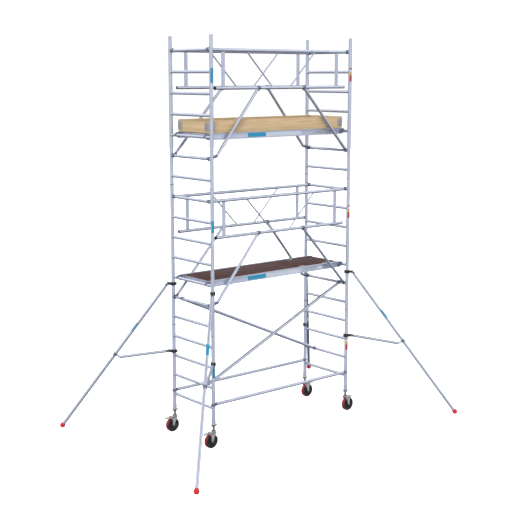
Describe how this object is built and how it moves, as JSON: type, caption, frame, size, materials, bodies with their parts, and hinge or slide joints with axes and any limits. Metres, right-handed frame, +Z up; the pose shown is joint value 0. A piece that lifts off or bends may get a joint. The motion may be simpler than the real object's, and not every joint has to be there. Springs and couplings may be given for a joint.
{
  "type": "mobile tower scaffold",
  "caption": "Mobile aluminium access tower on castors: ladder end frames, guard rails, braces, two hatch platforms, toe-boards and swing-out stabilisers.",
  "frame": {"origin": "on the floor, under the middle of the tower's bay", "axes": "+X along the platforms, from the left end frame to the right one; +Y across the tower, from the front to the back; +Z up"},
  "size_m": [4.8882, 3.2882, 5.5],
  "materials": {
    "alu_tube": "brushed, clear anodised",
    "alu_profile": "mill finish extrusion",
    "dark_casting": "dark grey coating",
    "zinc": "zinc plated",
    "spindle_steel": "oiled thread",
    "deck_ply": "phenolic film, fine mesh print",
    "toe_board_wood": "planed softwood",
    "wheel_core": "moulded nylon",
    "tyre_red": "cast polyurethane",
    "clamp_black": "black powder coat",
    "foot_red": "moulded rubber"
  },
  "bodies": {
    "root": {"frame_left_bottom": "alu_tube", "frame_left_middle": "alu_tube", "frame_left_top": "alu_tube", "frame_right_bottom": "alu_tube", "frame_right_middle": "alu_tube", "frame_right_top": "alu_tube", "frame_locking_pins": "dark_casting", "guard_front_lower": "alu_tube", "guard_front_upper": "alu_tube", "guard_back_lower": "alu_tube", "guard_back_upper": "alu_tube", "guard_claws": "dark_casting", "braces_horizontal": "alu_tube", "braces_diagonal": "alu_tube", "brace_claws": "dark_casting", "platform_lower_frame": "alu_profile", "platform_lower_deck": "deck_ply", "platform_upper_frame": "alu_profile", "platform_upper_deck": "deck_ply", "platform_hooks": "dark_casting", "toe_boards": "toe_board_wood", "toe_board_clips": "zinc"},
    "hatch_lower": {"platform_lower_hatch": "deck_ply"},
    "hatch_upper": {"platform_upper_hatch": "deck_ply"},
    "castor_front_left_spindle": {"castor_front_left_spindle": "spindle_steel"},
    "castor_front_left_nut": {"castor_front_left_nut": "zinc"},
    "castor_front_left_fork": {"castor_front_left_fork": "zinc"},
    "castor_front_left_brake": {"castor_front_left_brake": "zinc"},
    "castor_front_left_wheel": {"castor_front_left_wheel": "wheel_core", "castor_front_left_tyre": "tyre_red"},
    "stabiliser_front_left": {"stabiliser_front_left_clamps": "clamp_black", "stabiliser_front_left_tubes": "alu_tube", "stabiliser_front_left_foot": "foot_red"},
    "castor_back_left_spindle": {"castor_back_left_spindle": "spindle_steel"},
    "castor_back_left_nut": {"castor_back_left_nut": "zinc"},
    "castor_back_left_fork": {"castor_back_left_fork": "zinc"},
    "castor_back_left_brake": {"castor_back_left_brake": "zinc"},
    "castor_back_left_wheel": {"castor_back_left_wheel": "wheel_core", "castor_back_left_tyre": "tyre_red"},
    "stabiliser_back_left": {"stabiliser_back_left_clamps": "clamp_black", "stabiliser_back_left_tubes": "alu_tube", "stabiliser_back_left_foot": "foot_red"},
    "castor_front_right_spindle": {"castor_front_right_spindle": "spindle_steel"},
    "castor_front_right_nut": {"castor_front_right_nut": "zinc"},
    "castor_front_right_fork": {"castor_front_right_fork": "zinc"},
    "castor_front_right_brake": {"castor_front_right_brake": "zinc"},
    "castor_front_right_wheel": {"castor_front_right_wheel": "wheel_core", "castor_front_right_tyre": "tyre_red"},
    "stabiliser_front_right": {"stabiliser_front_right_clamps": "clamp_black", "stabiliser_front_right_tubes": "alu_tube", "stabiliser_front_right_foot": "foot_red"},
    "castor_back_right_spindle": {"castor_back_right_spindle": "spindle_steel"},
    "castor_back_right_nut": {"castor_back_right_nut": "zinc"},
    "castor_back_right_fork": {"castor_back_right_fork": "zinc"},
    "castor_back_right_brake": {"castor_back_right_brake": "zinc"},
    "castor_back_right_wheel": {"castor_back_right_wheel": "wheel_core", "castor_back_right_tyre": "tyre_red"},
    "stabiliser_back_right": {"stabiliser_back_right_clamps": "clamp_black", "stabiliser_back_right_tubes": "alu_tube", "stabiliser_back_right_foot": "foot_red"}
  },
  "joints": [
    {"name": "hatch_lower_lid", "type": "hinge", "parent": "root", "child": "hatch_lower", "pos_m": [0.72, -0.298, 2.278], "axis": [1, 0, 0], "range_deg": [0, 90]},
    {"name": "hatch_upper_lid", "type": "hinge", "parent": "root", "child": "hatch_upper", "pos_m": [0.72, -0.298, 4.238], "axis": [1, 0, 0], "range_deg": [0, 90]},
    {"name": "castor_front_left_jack", "type": "slide", "parent": "root", "child": "castor_front_left_spindle", "axis": [0, 0, -1], "range_m": [-0.045, 0.25]},
    {"name": "castor_front_left_nut_turn", "type": "hinge", "parent": "root", "child": "castor_front_left_nut", "pos_m": [-1.25, -0.45, 0.31], "axis": [0, 0, 1], "continuous": true},
    {"name": "castor_front_left_swivel", "type": "hinge", "parent": "castor_front_left_spindle", "child": "castor_front_left_fork", "pos_m": [-1.25, -0.45, 0.22], "axis": [0, 0, 1], "continuous": true},
    {"name": "castor_front_left_roll", "type": "hinge", "parent": "castor_front_left_fork", "child": "castor_front_left_wheel", "pos_m": [-1.295, -0.45, 0.1], "axis": [0, 1, 0], "continuous": true},
    {"name": "castor_front_left_pedal", "type": "hinge", "parent": "castor_front_left_fork", "child": "castor_front_left_brake", "pos_m": [-1.333, -0.45, 0.206], "axis": [0, -1, 0], "range_deg": [0, 14]},
    {"name": "stabiliser_front_left_swing", "type": "hinge", "parent": "root", "child": "stabiliser_front_left", "pos_m": [-1.25, -0.45, 1.65], "axis": [0, 0, 1], "range_deg": [-45, 45]},
    {"name": "castor_back_left_jack", "type": "slide", "parent": "root", "child": "castor_back_left_spindle", "axis": [0, 0, -1], "range_m": [-0.045, 0.25]},
    {"name": "castor_back_left_nut_turn", "type": "hinge", "parent": "root", "child": "castor_back_left_nut", "pos_m": [-1.25, 0.45, 0.31], "axis": [0, 0, 1], "continuous": true},
    {"name": "castor_back_left_swivel", "type": "hinge", "parent": "castor_back_left_spindle", "child": "castor_back_left_fork", "pos_m": [-1.25, 0.45, 0.22], "axis": [0, 0, 1], "continuous": true},
    {"name": "castor_back_left_roll", "type": "hinge", "parent": "castor_back_left_fork", "child": "castor_back_left_wheel", "pos_m": [-1.295, 0.45, 0.1], "axis": [0, 1, 0], "continuous": true},
    {"name": "castor_back_left_pedal", "type": "hinge", "parent": "castor_back_left_fork", "child": "castor_back_left_brake", "pos_m": [-1.333, 0.45, 0.206], "axis": [0, -1, 0], "range_deg": [0, 14]},
    {"name": "stabiliser_back_left_swing", "type": "hinge", "parent": "root", "child": "stabiliser_back_left", "pos_m": [-1.25, 0.45, 1.65], "axis": [0, 0, 1], "range_deg": [-45, 45]},
    {"name": "castor_front_right_jack", "type": "slide", "parent": "root", "child": "castor_front_right_spindle", "axis": [0, 0, -1], "range_m": [-0.045, 0.25]},
    {"name": "castor_front_right_nut_turn", "type": "hinge", "parent": "root", "child": "castor_front_right_nut", "pos_m": [1.25, -0.45, 0.31], "axis": [0, 0, 1], "continuous": true},
    {"name": "castor_front_right_swivel", "type": "hinge", "parent": "castor_front_right_spindle", "child": "castor_front_right_fork", "pos_m": [1.25, -0.45, 0.22], "axis": [0, 0, 1], "continuous": true},
    {"name": "castor_front_right_roll", "type": "hinge", "parent": "castor_front_right_fork", "child": "castor_front_right_wheel", "pos_m": [1.295, -0.45, 0.1], "axis": [0, 1, 0], "continuous": true},
    {"name": "castor_front_right_pedal", "type": "hinge", "parent": "castor_front_right_fork", "child": "castor_front_right_brake", "pos_m": [1.333, -0.45, 0.206], "axis": [0, 1, 0], "range_deg": [0, 14]},
    {"name": "stabiliser_front_right_swing", "type": "hinge", "parent": "root", "child": "stabiliser_front_right", "pos_m": [1.25, -0.45, 1.65], "axis": [0, 0, 1], "range_deg": [-45, 45]},
    {"name": "castor_back_right_jack", "type": "slide", "parent": "root", "child": "castor_back_right_spindle", "axis": [0, 0, -1], "range_m": [-0.045, 0.25]},
    {"name": "castor_back_right_nut_turn", "type": "hinge", "parent": "root", "child": "castor_back_right_nut", "pos_m": [1.25, 0.45, 0.31], "axis": [0, 0, 1], "continuous": true},
    {"name": "castor_back_right_swivel", "type": "hinge", "parent": "castor_back_right_spindle", "child": "castor_back_right_fork", "pos_m": [1.25, 0.45, 0.22], "axis": [0, 0, 1], "continuous": true},
    {"name": "castor_back_right_roll", "type": "hinge", "parent": "castor_back_right_fork", "child": "castor_back_right_wheel", "pos_m": [1.295, 0.45, 0.1], "axis": [0, 1, 0], "continuous": true},
    {"name": "castor_back_right_pedal", "type": "hinge", "parent": "castor_back_right_fork", "child": "castor_back_right_brake", "pos_m": [1.333, 0.45, 0.206], "axis": [0, 1, 0], "range_deg": [0, 14]},
    {"name": "stabiliser_back_right_swing", "type": "hinge", "parent": "root", "child": "stabiliser_back_right", "pos_m": [1.25, 0.45, 1.65], "axis": [0, 0, 1], "range_deg": [-45, 45]}
  ],
  "couplings": [
    {"joint": "castor_front_left_nut_turn", "follows": "castor_front_left_jack", "rad_per_m": 1047.2},
    {"joint": "castor_back_left_nut_turn", "follows": "castor_back_left_jack", "rad_per_m": 1047.2},
    {"joint": "castor_front_right_nut_turn", "follows": "castor_front_right_jack", "rad_per_m": 1047.2},
    {"joint": "castor_back_right_nut_turn", "follows": "castor_back_right_jack", "rad_per_m": 1047.2}
  ]
}
